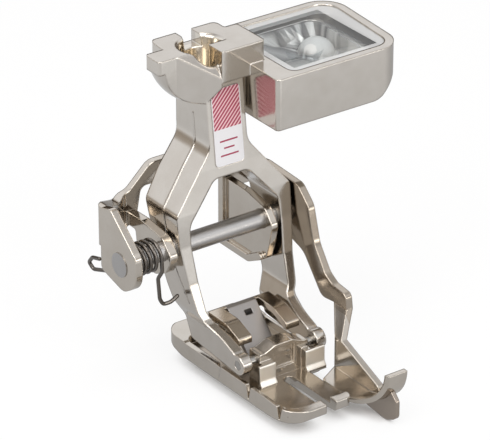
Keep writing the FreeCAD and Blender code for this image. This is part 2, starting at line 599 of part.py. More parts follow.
def make_spring():
    """Torsion spring: coils on the shaft, a hook on the plate and a leg by the fork."""
    x_end = COIL_X0 + COIL_PITCH * COIL_TURNS
    plate_in = PLATE_OUT + SHEET
    beside = plate_in + WIRE_R + 0.05
    route = [V(PLATE_OUT + 0.2, 18.4, 15.2), V(PLATE_OUT + 0.3, 20.3, 14.6),
             V(PLATE_OUT + 0.5, 21.4, 13.4), V(PLATE_OUT + 0.7, 20.7, 12.6),
             V(beside, 18.6, 13.1),
             V(COIL_X0 - 0.10, SHAFT_Y + COIL_R * 1.15, SHAFT_Z - 1.4)]
    for i in range(COIL_TURNS * COIL_STEPS + COIL_STEPS // 2 + 1):
        turn = 2.0 * math.pi * i / COIL_STEPS
        route.append(V(COIL_X0 + COIL_PITCH * i / COIL_STEPS, SHAFT_Y + COIL_R * math.cos(turn),
                       SHAFT_Z + COIL_R * math.sin(turn)))
    route += [V(x_end + 0.5, SHAFT_Y - COIL_R + 0.1, SHAFT_Z - 1.8), V(-11.5, 12.4, 13.6),
              V(-11.0, 12.8, 10.3), V(-10.5, 12.8, 9.4), V(-9.5, 12.6, 9.5), V(-8.4, 12.6, 10.1)]
    path = Part.makePolygon(route)
    along = (route[1] - route[0]).normalize()
    side = along.cross(V(1, 0, 0)).normalize()
    other = along.cross(side)
    ring = []
    for i in range(WIRE_SIDES + 1):
        turn = 2.0 * math.pi * (i % WIRE_SIDES) / WIRE_SIDES
        ring.append(route[0] + side * (WIRE_R * math.cos(turn)) + other * (WIRE_R * math.sin(turn)))
    sweep = Part.BRepOffsetAPI.MakePipeShell(Part.Wire(path))
    sweep.setTransitionMode(1)
    sweep.add(Part.makePolygon(ring), False, False)
    sweep.build()
    sweep.makeSolid()
    return sweep.shape()


PARTS = {
    "foot_body": make_foot_body,
    "label_plate": make_label_plate,
    "lens_cover": make_lens_cover,
    "reflector_tray": make_reflector,
    "sole_plate": make_sole,
    "sole_pivot_pin": make_sole_pin,
    "sole_leaf_spring": make_sole_spring,
    "guide_yoke": make_guide_yoke,
    "guide_fin": make_guide_fin,
    "hinge_shaft": make_shaft,
    "torsion_spring": make_spring,
}


def main():
    """Build every piece and export it."""
    os.makedirs("parts", exist_ok=True)
    for name, maker in PARTS.items():
        shape = maker()
        solids = shape.Solids
        print(name, "solids", len(solids), "valid", shape.isValid(), "volume", round(shape.Volume, 3))
        if len(solids) == 1:
            shape = solids[0]
        shape.translate(V(-BORE_X, -BORE_Y, -HEAD_TOP))
        shape.exportStep("parts/" + name + ".step")


main()
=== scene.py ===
"""Looks of a patchwork presser foot: plated casting, tilting sole, sprung seam guide, lens.

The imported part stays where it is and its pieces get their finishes.  Two of them are
stood for by finer pieces: the tray by a bowl of facets and the spring by round wire.
"""

import json
import logging
import math
from dataclasses import dataclass, field
from enum import Enum
from typing import Any, Optional, Sequence, Union

import bmesh
import bpy
import numpy as np
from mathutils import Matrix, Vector

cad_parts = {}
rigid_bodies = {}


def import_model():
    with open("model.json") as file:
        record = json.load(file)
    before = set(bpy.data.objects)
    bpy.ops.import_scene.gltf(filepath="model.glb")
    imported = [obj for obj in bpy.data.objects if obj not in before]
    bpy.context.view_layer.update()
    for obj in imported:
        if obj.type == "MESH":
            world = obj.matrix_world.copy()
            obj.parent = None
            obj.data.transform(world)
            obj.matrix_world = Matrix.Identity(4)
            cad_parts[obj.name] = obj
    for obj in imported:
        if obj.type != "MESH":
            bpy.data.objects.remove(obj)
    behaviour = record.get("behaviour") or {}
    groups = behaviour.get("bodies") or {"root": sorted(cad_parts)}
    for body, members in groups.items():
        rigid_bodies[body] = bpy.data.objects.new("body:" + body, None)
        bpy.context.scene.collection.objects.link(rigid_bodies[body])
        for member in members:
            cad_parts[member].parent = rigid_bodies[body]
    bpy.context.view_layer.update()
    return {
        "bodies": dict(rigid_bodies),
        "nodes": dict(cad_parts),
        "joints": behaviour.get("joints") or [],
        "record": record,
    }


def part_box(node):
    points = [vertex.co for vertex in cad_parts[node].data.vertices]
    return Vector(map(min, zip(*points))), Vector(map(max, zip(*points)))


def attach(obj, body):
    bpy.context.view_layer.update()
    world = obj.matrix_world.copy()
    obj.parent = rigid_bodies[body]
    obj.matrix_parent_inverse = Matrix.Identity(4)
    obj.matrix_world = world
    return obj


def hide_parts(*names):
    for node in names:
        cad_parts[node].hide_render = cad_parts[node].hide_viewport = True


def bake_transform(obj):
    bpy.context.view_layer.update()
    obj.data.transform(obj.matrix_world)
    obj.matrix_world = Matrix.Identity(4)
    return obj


LOG = logging.getLogger("presser_foot")
MM = 0.001
SOCKET = np.array([-1.5, 16.9, 41.5])
"""The row's origin, the socket's mouth, seen from the needle point, in millimetres."""
Stops = tuple[tuple[float, str], ...]
"""Stops of a colour ramp: places from 0 to 1 in order, each with its sRGB hex code."""


def row(*point: float) -> np.ndarray:
    """Point given from the needle point in millimetres, in the row frame in metres.

    Args:
        point: X, Y and Z from the needle point, in millimetres.

    Returns:
        The same point from the socket's mouth, in metres.
    """
    return (np.array(point, float) - SOCKET) * MM


def linear(code: str) -> tuple[float, float, float, float]:
    """Linear colour of an sRGB hex code.

    Args:
        code: Six hex digits with a leading hash.

    Returns:
        Red, green, blue and full alpha in linear light.
    """
    parts = np.array([int(code[i:i + 2], 16) for i in (1, 3, 5)]) / 255.0
    low = parts / 12.92
    high = ((parts + 0.055) / 1.055) ** 2.4
    mixed = np.where(parts <= 0.04045, low, high)
    return (float(mixed[0]), float(mixed[1]), float(mixed[2]), 1.0)


class Body(Enum):
    """Moving bodies of the foot."""

    FOOT = "foot"
    SOLE = "sole"
    GUIDE = "guide"


# Finishes


class Nodes:
    """Node tree of one material or world, emptied and ready to be filled."""

    def __init__(self, name: str, world: Optional[bpy.types.World] = None) -> None:
        """Makes the material, or takes over a world's tree.

        Args:
            name: What the surface is made of and how.
            world: World whose tree is filled in place of a new material's.
        """
        self.material = world or bpy.data.materials.new(name)
        self.material.use_nodes = True
        self.tree = self.material.node_tree
        self.tree.nodes.clear()
        kind = "ShaderNodeOutputWorld" if world else "ShaderNodeOutputMaterial"
        self.output = self.tree.nodes.new(kind)

    def feed(self, socket: bpy.types.NodeSocket, item: Any) -> None:
        """Links an input to a socket, or sets it to a value or a colour.

        Args:
            socket: Input of a node.
            item: Output socket, value, or sRGB hex code.
        """
        if isinstance(item, bpy.types.NodeSocket):
            self.tree.links.new(item, socket)
        else:
            socket.default_value = linear(item) if isinstance(item, str) else item

    def add(self, kind: str, settings: Optional[dict[str, Any]] = None, *terms: Any,
            **inputs: Any) -> bpy.types.Node:
        """Adds a node with its settings and inputs.

        Args:
            kind: Blender's name of the node type, without its ShaderNode prefix.
            settings: Attributes of the node itself.
            terms: Sockets or values of the first inputs, in their order.
            inputs: Sockets or values by name, with spaces written as underscores.

        Returns:
            The new node.
        """
        node = self.tree.nodes.new("ShaderNode" + kind)
        for key, value in (settings or {}).items():
            setattr(node, key, value)
        for socket, item in zip(node.inputs, terms):
            self.feed(socket, item)
        for key, item in inputs.items():
            self.feed(node.inputs[key.replace("_", " ")], item)
        return node

    def maths(self, kind: str, *terms: Any) -> bpy.types.NodeSocket:
        """One sum on sockets and numbers, in the operation's order."""
        return self.add("Math", {"operation": kind}, *terms).outputs[0]

    def vector(self, kind: str, *terms: Any) -> bpy.types.NodeSocket:
        """One sum on vectors; distance, length and dot product give a number."""
        number = kind in ("DOT_PRODUCT", "DISTANCE", "LENGTH")
        node = self.add("VectorMath", {"operation": kind}, *terms)
        return node.outputs["Value" if number else "Vector"]

    def span(self, value: bpy.types.NodeSocket, start: Sequence[float],
             end: Sequence[Any] = (0.0, 1.0), smooth: bool = False) -> bpy.types.NodeSocket:
        """Carries a value from one span over to another, held at both ends.

        Args:
            value: Socket of the value.
            start: Span that it comes from.
            end: Span that it goes to, as numbers or sockets.
            smooth: Whether it eases in and out.

        Returns:
            The result's socket.
        """
        node = self.add("MapRange", {"interpolation_type": "SMOOTHSTEP" if smooth else "LINEAR"},
                        Value=value, From_Min=start[0], From_Max=start[1], To_Min=end[0],
                        To_Max=end[1])
        return node.outputs["Result"]

    def mix(self, share: Any, first: Any, second: Any) -> bpy.types.NodeSocket:
        """Colour between two.

        Args:
            share: Socket or number, one for the second colour alone.
            first: Socket or hex code.
            second: Socket or hex code.

        Returns:
            The colour's socket.
        """
        node = self.add("Mix", {"data_type": "RGBA"})
        for number, item in ((0, share), (6, first), (7, second)):
            self.feed(node.inputs[number], item)
        return node.outputs[2]

    def mix_shader(self, share: Any, *shaders: bpy.types.NodeSocket) -> bpy.types.NodeSocket:
        """Shader between two, the second alone where the share is one."""
        return self.add("MixShader", None, share, *shaders).outputs[0]

    def ramp(self, place: bpy.types.NodeSocket, stops: Stops) -> bpy.types.NodeSocket:
        """Colour from a ramp.

        Args:
            place: Socket that the ramp is read at.
            stops: Places from 0 to 1 in order, each with its hex colour.

        Returns:
            The colour's socket.
        """
        node = self.add("ValToRGB", Fac=place)
        ends = node.color_ramp.elements
        ends[0].position, ends[0].color = stops[0][0], linear(stops[0][1])
        ends[1].position, ends[1].color = stops[-1][0], linear(stops[-1][1])
        for at, code in stops[1:-1]:
            ends.new(at).color = linear(code)
        return node.outputs["Color"]

    def noise(self, where: bpy.types.NodeSocket, size_mm: float, detail: float,
              roughness: float = 0.5) -> bpy.types.NodeSocket:
        """Soft noise with patches of a given size.

        Args:
            where: Socket of the surface point.
            size_mm: Size of a patch in millimetres.
            detail: How many finer layers lie over it.
            roughness: How much each finer layer counts.

        Returns:
            Socket from nought to one.
        """
        node = self.add("TexNoise", Vector=where, Scale=1.0 / (size_mm * MM), Detail=detail,
                        Roughness=roughness)
        return node.outputs["Fac"]

    def bump(self, height: bpy.types.NodeSocket, normal: bpy.types.NodeSocket,
             strength: float, depth_mm: float) -> bpy.types.NodeSocket:
        """Normal that leans with a height.

        Args:
            height: Socket of the height, from nought to one.
            normal: Socket of the normal it starts from.
            strength: Share of the whole depth.
            depth_mm: Depth in millimetres.

        Returns:
            The normal's socket.
        """
        node = self.add("Bump", Height=height, Normal=normal, Strength=strength,
                        Distance=depth_mm * MM)
        return node.outputs["Normal"]

    def finish(self, shader: bpy.types.NodeSocket) -> bpy.types.Material:
        """Links the surface shader and gives the material back.

        Args:
            shader: Output socket of the last shader.

        Returns:
            The finished material.
        """
        self.tree.links.new(shader, self.output.inputs["Surface"])
        return self.material


@dataclass(frozen=True)
class Box:
    """Box from the needle point, in millimetres."""

    low: tuple[float, float, float]
    high: tuple[float, float, float]

    def mask(self, n: Nodes, where: bpy.types.NodeSocket) -> bpy.types.NodeSocket:
        """One inside the box and nothing outside it.

        The distance from the box's middle, less its half sizes, is under zero on every
        axis only inside.

        Args:
            n: Tree the nodes go into.
            where: Socket of the surface point.

        Returns:
            The mask's socket.
        """
        low, high = row(*self.low), row(*self.high)
        off = n.vector("SUBTRACT", where, tuple((low + high) / 2.0))
        past = n.vector("SUBTRACT", n.vector("ABSOLUTE", off), tuple((high - low) / 2.0))
        axes = n.add("SeparateXYZ", Vector=past).outputs
        most = n.maths("MAXIMUM", n.maths("MAXIMUM", axes[0], axes[1]), axes[2])
        return n.maths("LESS_THAN", most, 0.0)


@dataclass(frozen=True)
class Zone(Box):
    """Box inside which a plated finish has another tint and roughness."""

    tint: str
    roughness: float


@dataclass(frozen=True)
class PlatedMetal:
    """Nickel plate over a tumbled casting or pressing.

    It gives the eye a soft mirror: the studio's pale and brown bands lie in it, slightly
    wavy, a fine grain softens them, and every broken edge carries a thin bright line.

    Attributes:
        name: What the surface is made of and how.
        tint: Paler of the two colours it drifts between.
        shade: Darker of the two.
        roughness: Middle roughness of the plate.
        edge_mm: Radius that edges are broken to.
        zones: Boxes with another tint and roughness; their tints paint light and shade into the
            plate.
        wave_mm: Size of a patch of the waviness.
        grain_mm: Size of a patch of the grain.
        wave_bump: Strength of the waviness.
        grain_bump: Strength of the grain.
        wave_depth_mm: Depth of the waviness.
        grain_depth_mm: Depth of the grain.
        gloss_swing: Shares of the roughness that the grain swings between.
    """

    name: str
    tint: str
    shade: str
    roughness: float
    edge_mm: float = 0.24
    zones: tuple[Zone, ...] = ()
    wave_mm: float = 2.6
    grain_mm: float = 0.30
    wave_bump: float = 0.17
    grain_bump: float = 0.05
    wave_depth_mm: float = 0.10
    grain_depth_mm: float = 0.02
    gloss_swing: tuple[float, float] = (0.75, 1.35)

    def make(self) -> bpy.types.Material:
        """Plate with broken edges; colour drifts between tint and shade.

        Returns:
            The material.
        """
        n = Nodes(self.name)
        where = n.add("TexCoord").outputs["Object"]
        drift = n.noise(where, self.wave_mm, 2.0)
        grain = n.noise(where, self.grain_mm, 3.0, 0.6)
        shown = n.mix(drift, self.tint, self.shade)
        gloss = n.span(grain, (0.0, 1.0), [self.roughness * share for share in self.gloss_swing])
        # The zones' tints paint light and shade into the plate; their roughness is the plate's
        # own.
        for zone in self.zones:
            mask = zone.mask(n, where)
            shown = n.mix(mask, shown, zone.tint)
            gloss = n.span(mask, (0.0, 1.0), (gloss, zone.roughness))
        edge = n.add("Bevel", {"samples": 8}, Radius=self.edge_mm * MM).outputs["Normal"]
        swell = n.bump(drift, edge, self.wave_bump, self.wave_depth_mm)
        skin = n.bump(grain, swell, self.grain_bump, self.grain_depth_mm)
        shader = n.add("BsdfPrincipled", Base_Color=shown, Roughness=gloss, Normal=skin,
                       Metallic=1.0)
        return n.finish(shader.outputs[0])


@dataclass(frozen=True)
class ClearMoulding:
    """Clear moulded acrylic.

    It gives the eye a clear pane with the tray in view below, a faint veil of the room
    that grows towards grazing, and a milky border where the pane sits in the rim.

    Attributes:
        name: What the surface is made of and how.
        tint: Colour of what is seen through it.
        ior: Refractive index, for the veil alone.
        frost: Colour of the milky border.
        frost_share: How much the border covers.
        window: Box inside which the pane is clear.
        ripple_mm: Size of a patch of the ripple.
        ripple_bump: Strength of the ripple.
        ripple_depth_mm: Depth of the ripple.
        edge_mm: Radius of the moulded edges.
        glint_roughness: Roughness of the veil.
    """

    name: str = "moulded clear acrylic"
    tint: str = "#F2F4F5"
    ior: float = 1.49
    frost: str = "#E8E6E3"
    frost_share: float = 0.46
    window: Box = Box((7.5, 9.8, 30.0), (20.4, 22.4, 45.0))
    ripple_mm: float = 2.2
    ripple_bump: float = 0.25
    ripple_depth_mm: float = 0.06
    edge_mm: float = 0.35
    glint_roughness: float = 0.04

    def make(self) -> bpy.types.Material:
        """Sees straight through, with a veil on the outside that grows to the edges.

        Returns:
            The material.
        """
        n = Nodes(self.name)
        where = n.add("TexCoord").outputs["Object"]
        edge = n.add("Bevel", {"samples": 6}, Radius=self.edge_mm * MM).outputs["Normal"]
        skin = n.bump(n.noise(where, self.ripple_mm, 1.0), edge, self.ripple_bump,
                      self.ripple_depth_mm)
        outside = n.maths("SUBTRACT", 1.0, n.add("NewGeometry").outputs["Backfacing"])
        mirror = n.add("Fresnel", Normal=skin, IOR=self.ior).outputs[0]
        veil = n.maths("MULTIPLY", mirror, outside)
        border = n.maths("SUBTRACT", 1.0, self.window.mask(n, where))
        body = n.mix_shader(n.maths("MULTIPLY", border, self.frost_share),
                            n.add("BsdfTransparent", Color=self.tint).outputs[0],
                            n.add("BsdfDiffuse", Color=self.frost).outputs[0])
        glint = n.add("BsdfGlossy", Normal=skin, Roughness=self.glint_roughness)
        return n.finish(n.mix_shader(veil, body, glint.outputs[0]))


@dataclass(frozen=True)
class MouldedFacets:
    """Tray of moulded facets, its look painted in light and shade.

    It gives the eye dark grey fans of painted shade between pale ridges of painted
    highlight that run to a frosted dome, and painted light pales them towards the front.

    Attributes:
        name: What the surface is made of and how.
        face: Colour of the painted shade in the fans.
        ridge: Colour of the painted highlight on the ridges and the painted light at the front,
            and the dome's own colour.
        middle: Place of the dome from the needle point.
        sectors: Number of fans round the dome.
        wander: How far noise moves the ridges, as a share of a fan.
        wander_mm: Size of a patch of that noise.
        fan_stops: Share of painted shade across one fan, from ridge to ridge.
        dome_mm: Radius of the dome.
        dome_edge: Shares of that radius between which the dome's look ends.
        lit_y: Distances behind the dome over which the painted light at the front gives way to the
            fans' painted shade.
        metallic: How much of a mirror the facets are.
        roughness: Roughness of the facets.
        dome_roughness: Roughness of the frosted dome.
    """

    name: str = "moulded reflector, painted light and shade"
    face: str = "#6E6964"
    ridge: str = "#DAD5CE"
    middle: tuple[float, float] = (17.2, 17.9)
    sectors: float = 7.0
    wander: float = 0.55
    wander_mm: float = 4.0
    fan_stops: Stops = ((0.0, "#000000"), (0.10, "#000000"), (0.20, "#FFFFFF"),
                        (0.55, "#B0B0B0"), (0.90, "#FFFFFF"), (1.0, "#000000"))
    dome_mm: float = 2.5
    dome_edge: tuple[float, float] = (0.9, 1.1)
    lit_y: tuple[float, float] = (-5.0, -0.6)
    metallic: float = 0.55
    roughness: float = 0.24
    dome_roughness: float = 0.42

    def make(self) -> bpy.types.Material:
        """Fans of painted shade by the angle round the dome; paler on the dome and, by painted
        light, at the front.

        Returns:
            The material.
        """
        n = Nodes(self.name)
        where = n.add("TexCoord").outputs["Object"]
        off = n.vector("SUBTRACT", where, tuple(row(*self.middle, 0.0)))
        x, y, _ = n.add("SeparateXYZ", Vector=off).outputs
        shift = n.maths("MULTIPLY", n.noise(where, self.wander_mm, 1.0), self.wander)
        turns = n.maths("MULTIPLY_ADD", n.maths("ARCTAN2", y, x),
                        self.sectors / (2.0 * math.pi), shift)
        # Painted shade: dark fans round the dome, with pale ridges of painted highlight between
        # them.
        dark = n.ramp(n.maths("FRACT", turns), self.fan_stops)
        # Painted light: the fans fade to the pale colour towards the front.
        back = n.span(y, [place * MM for place in self.lit_y])
        away = n.vector("LENGTH", n.add("CombineXYZ", X=x, Y=y).outputs[0])
        past = n.span(away, [self.dome_mm * share * MM for share in self.dome_edge])
        share = n.maths("MULTIPLY", dark, n.maths("MULTIPLY", back, past))
        shader = n.add("BsdfPrincipled", Base_Color=n.mix(share, self.ridge, self.face),
                       Roughness=n.span(past, (0.0, 1.0), (self.dome_roughness, self.roughness)),
                       Metallic=n.maths("MULTIPLY", past, self.metallic))
        return n.finish(shader.outputs[0])


@dataclass(frozen=True)
class PrintedLabel:
    """White printed plate under a gloss varnish.

    It gives the eye a white field with crisp red ink: a slanting hatch on a pink ground
    above and three plain ticks below.

    Attributes:
        name: What the surface is made of and how.
        paper: Colour of the bare field.
        ink: Colour of the hatch and the ticks.
        ground: Colour between the hatch's lines.
        hatch_mm: Height from one line of the hatch to the next.
        hatch_rise: Rise of a line for each unit across.
        hatch_gap: Share of that height without ink.
        hatch_z: Lower and upper end of the hatch.
        half_mm: Half width of the hatch.
        ticks: Height and half length of each tick.
        tick_mm: Width of a tick's line.
        varnish: Roughness of the varnish.
    """

    name: str = "printed gloss label"
    paper: str = "#D9D6D6"
    ink: str = "#98304A"
    ground: str = "#DDB3B5"
    hatch_mm: float = 0.62
    hatch_rise: float = 1.0
    hatch_gap: float = 0.45
    hatch_z: tuple[float, float] = (30.9, 36.2)
    half_mm: float = 2.05
    ticks: tuple[tuple[float, float], ...] = ((27.4, 1.35), (28.35, 0.8), (29.3, 1.35))
    tick_mm: float = 0.22
    varnish: float = 0.28

    def make(self) -> bpy.types.Material:
        """Ink mask from the height and the slanted distance across the plate.

        Returns:
            The material.
        """
        n = Nodes(self.name)
        x, _, z = n.add("SeparateXYZ", Vector=n.add("TexCoord").outputs["Object"]).outputs
        zero_x, _, zero_z = (float(part) for part in row(0.0, 0.0, 0.0))
        slant = n.maths("SUBTRACT", z, n.maths("MULTIPLY", x, self.hatch_rise))
        turns = n.maths("DIVIDE", slant, self.hatch_mm * MM)
        stripe = n.maths("GREATER_THAN", n.maths("FRACT", turns), self.hatch_gap)
        above = n.maths("GREATER_THAN", z, zero_z + self.hatch_z[0] * MM)
        below = n.maths("LESS_THAN", z, zero_z + self.hatch_z[1] * MM)
        across = n.maths("ABSOLUTE", n.maths("SUBTRACT", x, zero_x))
        inside = n.maths("LESS_THAN", across, self.half_mm * MM)
        hatched = n.maths("MULTIPLY", above, n.maths("MULTIPLY", below, inside))
        ink = n.maths("MULTIPLY", stripe, hatched)
        for height, half_length in self.ticks:
            off = n.maths("ABSOLUTE", n.maths("SUBTRACT", z, zero_z + height * MM))
            line = n.maths("LESS_THAN", off, self.tick_mm * MM / 2.0)
            reach = n.maths("LESS_THAN", across, half_length * MM)
            ink = n.maths("MAXIMUM", ink, n.maths("MULTIPLY", line, reach))
        colour = n.mix(ink, n.mix(hatched, self.paper, self.ground), self.ink)
        shader = n.add("BsdfPrincipled", Base_Color=colour, Roughness=self.varnish)
        return n.finish(shader.outputs[0])


@dataclass(frozen=True)
class DrawnSteel:
    """Turned or drawn steel.

    It gives the eye a dull grey bar with one long highlight, broken up by fine lines
    that run round it.

    Attributes:
        name: What the surface is made of and how.
        tint: Paler of the two colours of the lines.
        shade: Darker of the two.
        roughness: Middle roughness of the steel.
        line_mm: Width of a line.
        stretch: How much longer the lines are round the bar, as a scale of Y and Z.
        gloss_swing: Shares of the roughness that the lines swing between.
    """

    name: str
    tint: str
    shade: str
    roughness: float
    line_mm: float = 0.12
    stretch: float = 0.04
    gloss_swing: tuple[float, float] = (0.8, 1.3)

    def make(self) -> bpy.types.Material:
        """Fine rings across X from a stretched noise.

        Returns:
            The material.
        """
        n = Nodes(self.name)
        turned = n.add("Mapping", Vector=n.add("TexCoord").outputs["Object"],
                       Scale=(1.0, self.stretch, self.stretch))
        lines = n.noise(turned.outputs[0], self.line_mm, 2.0)
        gloss = n.span(lines, (0.0, 1.0), [self.roughness * share for share in self.gloss_swing])
        shader = n.add("BsdfPrincipled", Base_Color=n.mix(lines, self.tint, self.shade),
                       Roughness=gloss, Metallic=1.0)
        return n.finish(shader.outputs[0])


Finish = Union[PlatedMetal, ClearMoulding, MouldedFacets, PrintedLabel, DrawnSteel]

SOCKET_PAINTED_REFLECTION = Zone((-4.9, 15.2, 35.0), (1.9, 20.6, 41.30), "#DDD5C8", 0.12)
# Painted reflection: a paler, warmer tint in the socket, which keeps its many mirrorings from
# turning dark; the plate there is also glossier.
"""Brighter plate in the socket, which keeps its many mirrorings from turning dark."""

SOLE_FLOOR_PAINTED_SHADE = Zone((-5.9, -7.6, 1.05), (6.2, 14.5, 1.25), "#A79C8E", 0.20)
# Painted shade: a darker, browner tint on the sole's recessed floor, which is also duller.
"""Darker, duller floor of the sole."""

POST_FRONTS_PAINTED_LIGHT = Zone((-4.6, -0.4, 1.25), (5.7, 0.42, 4.2), "#EFE9DF", 0.46)
# Satin fronts of the two posts, paled by a tint of painted light.
"""Pale satin fronts of the two posts."""

GUIDE_ARM_PAINTED_SHADE = Zone((8.6, -3.0, 1.3), (12.4, 21.6, 28.0), "#B3A798", 0.15)
# Painted shade: a browner, darker tint on the guide's right arm.
"""Browner plate on the guide's right arm."""

LEAF_WEB_SATIN_AND_SHADE = Zone((-2.22, 3.0, 0.0), (2.22, 12.0, 7.25), "#98938F", 0.40)
# Satin web of the leaf, duller than its straps, with a darker grey tint of painted shade.
"""Grey satin web of the leaf, duller than its straps."""


@dataclass(frozen=True)
class Finishes:
    """Every finish of the foot, named for what the real piece has; some also paint light and shade
    into it.

    Attributes:
        casting: Plate over the cast body: a warm pale mirror with rounded bright edges, and a
            painted reflection in the socket.
        sole: Plate over milled steel: the same mirror, with a duller floor darkened by painted
            shade and satin posts paled by painted light.
        sheet: Plate over bent sheet: the sharpest mirror, with painted shade that makes the arm
            browner.
        fin: Plate on the fin, darkened by painted shade so that it stands off the tongue.
        leaf: Polished spring steel: warm and a little blurred, with a satin web darkened grey by
            painted shade.
        tray: Facets below the lens: painted shade in dark fans between ridges of painted
            highlight.
        shaft: Ground steel: evenly grey with one soft highlight.
        pin: Drawn steel: a small, sharper highlight.
        wire: Drawn wire: dark coils with a thin bright line on each.
        lens: Clear acrylic: the tray in view under a faint veil, with a milky border.
        label: Printed plate: white with crisp red ink under gloss.
    """

    casting: PlatedMetal = PlatedMetal(
        "nickel plated die casting", "#D2CBC2", "#C4BCB1", 0.15, 0.34, (SOCKET_PAINTED_REFLECTION,))
    sole: PlatedMetal = PlatedMetal(
        "nickel plated milled sole", "#CDC6BC", "#BFB6AA", 0.15,
        zones=(SOLE_FLOOR_PAINTED_SHADE, POST_FRONTS_PAINTED_LIGHT))
    sheet: PlatedMetal = PlatedMetal(
        "nickel plated pressing", "#CEC6BB", "#C0B6A9", 0.13, zones=(GUIDE_ARM_PAINTED_SHADE,))
    # Painted shade: the fin's plate is tinted darker than the pressing's.
    fin: PlatedMetal = PlatedMetal("nickel plated fin, painted shade", "#B2A698", "#A2958A", 0.18)
    leaf: PlatedMetal = PlatedMetal(
        "polished spring leaf", "#D6CBBC", "#C0B3A2", 0.17, 0.20, (LEAF_WEB_SATIN_AND_SHADE,))
    tray: MouldedFacets = MouldedFacets()
    shaft: DrawnSteel = DrawnSteel("ground steel shaft", "#B8B5B2", "#ADAAA7", 0.33)
    pin: DrawnSteel = DrawnSteel("drawn steel pin", "#B8B4AE", "#A09C96", 0.22)
    wire: DrawnSteel = DrawnSteel("drawn spring wire", "#7E7872", "#5E5852", 0.24, 0.3)
    lens: ClearMoulding = ClearMoulding()
    label: PrintedLabel = PrintedLabel()


# Shapes


def mesh_object(name: str, points: np.ndarray, faces: np.ndarray) -> bpy.types.Object:
    """Mesh object at the origin from arrays of points and four-cornered faces.

    Args:
        name: Name of the piece.
        points: Vertex places in metres, one row each.
        faces: Vertex numbers, four to a row.

    Returns:
        The object, smooth shaded and linked to the scene.
    """
    mesh = bpy.data.meshes.new(name)
    mesh.from_pydata(points.tolist(), [], faces.tolist())
    mesh.update()
    mesh.polygons.foreach_set("use_smooth", np.ones(len(mesh.polygons), bool))
    made = bpy.data.objects.new(name, mesh)
    bpy.context.scene.collection.objects.link(made)
    return made


def ring_faces(rings: int, count: int) -> np.ndarray:
    """Four-cornered faces between rings of points that follow one another.

    Args:
        rings: Number of rings.
        count: Points on each ring.

    Returns:
        Vertex numbers, four to a row.
    """
    rows, cols = np.meshgrid(np.arange(rings - 1), np.arange(count), indexing="ij")
    after = (cols + 1) % count
    return np.stack([rows * count + cols, rows * count + after,
                     (rows + 1) * count + after, (rows + 1) * count + cols], -1).reshape(-1, 4)


CAP_RINGS = 4
"""Rings in the dome at each end of a wire."""
CAP_TIP = 1e-3
"""Least size of a dome's ring, as a share of the wire's, so that it stays a ring."""


def tube(name: str, path: np.ndarray, radius: float, sides: int) -> bpy.types.Object:
    """Round wire along a path, with a domed cap at each end.

    Each ring is the circle cos(t) N + sin(t) B about a path point, where N and B are
    carried along the path by removing from the last N its part along the new tangent.
    The end rings shrink on a quarter circle, so that the wire closes in a dome.

    Args:
        name: Name of the piece.
        path: Points in metres, one row each, close together.
        radius: Wire radius in metres.
        sides: Points round a ring.

    Returns:
        The closed tube.
    """
    tangent = np.gradient(path, axis=0)
    tangent /= np.linalg.norm(tangent, axis=1)[:, None]
    normals = np.empty_like(path)
    normal = np.cross(tangent[0], (0.0, 0.0, 1.0))
    for i in range(len(path)):
        normal = normal - tangent[i] * (normal @ tangent[i])
        normal /= np.linalg.norm(normal)
        normals[i] = normal
    cap = np.linspace(0.0, math.pi / 2.0, CAP_RINGS + 1)
    back = np.stack([path[0] - tangent[0] * radius * math.cos(a) for a in cap[:-1]])
    fore = np.stack([path[-1] + tangent[-1] * radius * math.sin(a) for a in cap[1:]])
    centres = np.concatenate([back, path, fore])
    across, along = (np.pad(vectors, ((CAP_RINGS, CAP_RINGS), (0, 0)), "edge")
                     for vectors in (normals, tangent))
    size = np.concatenate([np.sin(cap[:-1]) + CAP_TIP, np.ones(len(path)),
                           np.cos(cap[1:]) + CAP_TIP])
    turn = np.arange(sides) * 2.0 * math.pi / sides
    other = np.cross(along, across)
    rings = (centres[:, None] + radius * size[:, None, None]
             * (np.cos(turn)[None, :, None] * across[:, None]
                + np.sin(turn)[None, :, None] * other[:, None]))
    made = mesh_object(name, rings.reshape(-1, 3), ring_faces(len(centres), sides))
    shut(made)
    return made


def shut(made: bpy.types.Object) -> None:
    """Closes open rims with a face and turns all faces outwards.

    Args:
        made: Mesh object to close.
    """
    shape = bmesh.new()
    shape.from_mesh(made.data)
    rims = [e for e in shape.edges if e.is_boundary]
    if rims:
        bmesh.ops.holes_fill(shape, edges=rims, sides=0)
    bmesh.ops.recalc_face_normals(shape, faces=shape.faces)
    shape.to_mesh(made.data)
    shape.free()


@dataclass
class Dressing:
    """Gives pieces their finish, and keeps the materials made so far by name."""

    frame: dict[str, Any]
    finishes: Finishes = field(default_factory=Finishes)
    made: dict[str, bpy.types.Material] = field(default_factory=dict)

    def material(self, finish: Finish) -> bpy.types.Material:
        """Material of a finish, made once.

        Args:
            finish: One of the finishes.

        Returns:
            Its material.
        """
        if finish.name not in self.made:
            self.made[finish.name] = finish.make()
        return self.made[finish.name]

    def paint(self, piece: bpy.types.Object, finish: Finish) -> None:
        """Puts one finish on a whole piece.

        Args:
            piece: Mesh object.
            finish: One of the finishes.
        """
        piece.data.materials.clear()
        piece.data.materials.append(self.material(finish))
        LOG.info("%s: %s", piece.name, finish.name)

    def node(self, name: str, finish: Finish) -> None:
        """Puts a finish on a piece carried over from the solids.

        Args:
            name: Name of the node.
            finish: One of the finishes.
        """
        self.paint(self.frame["nodes"][name], finish)


# Sub-assemblies


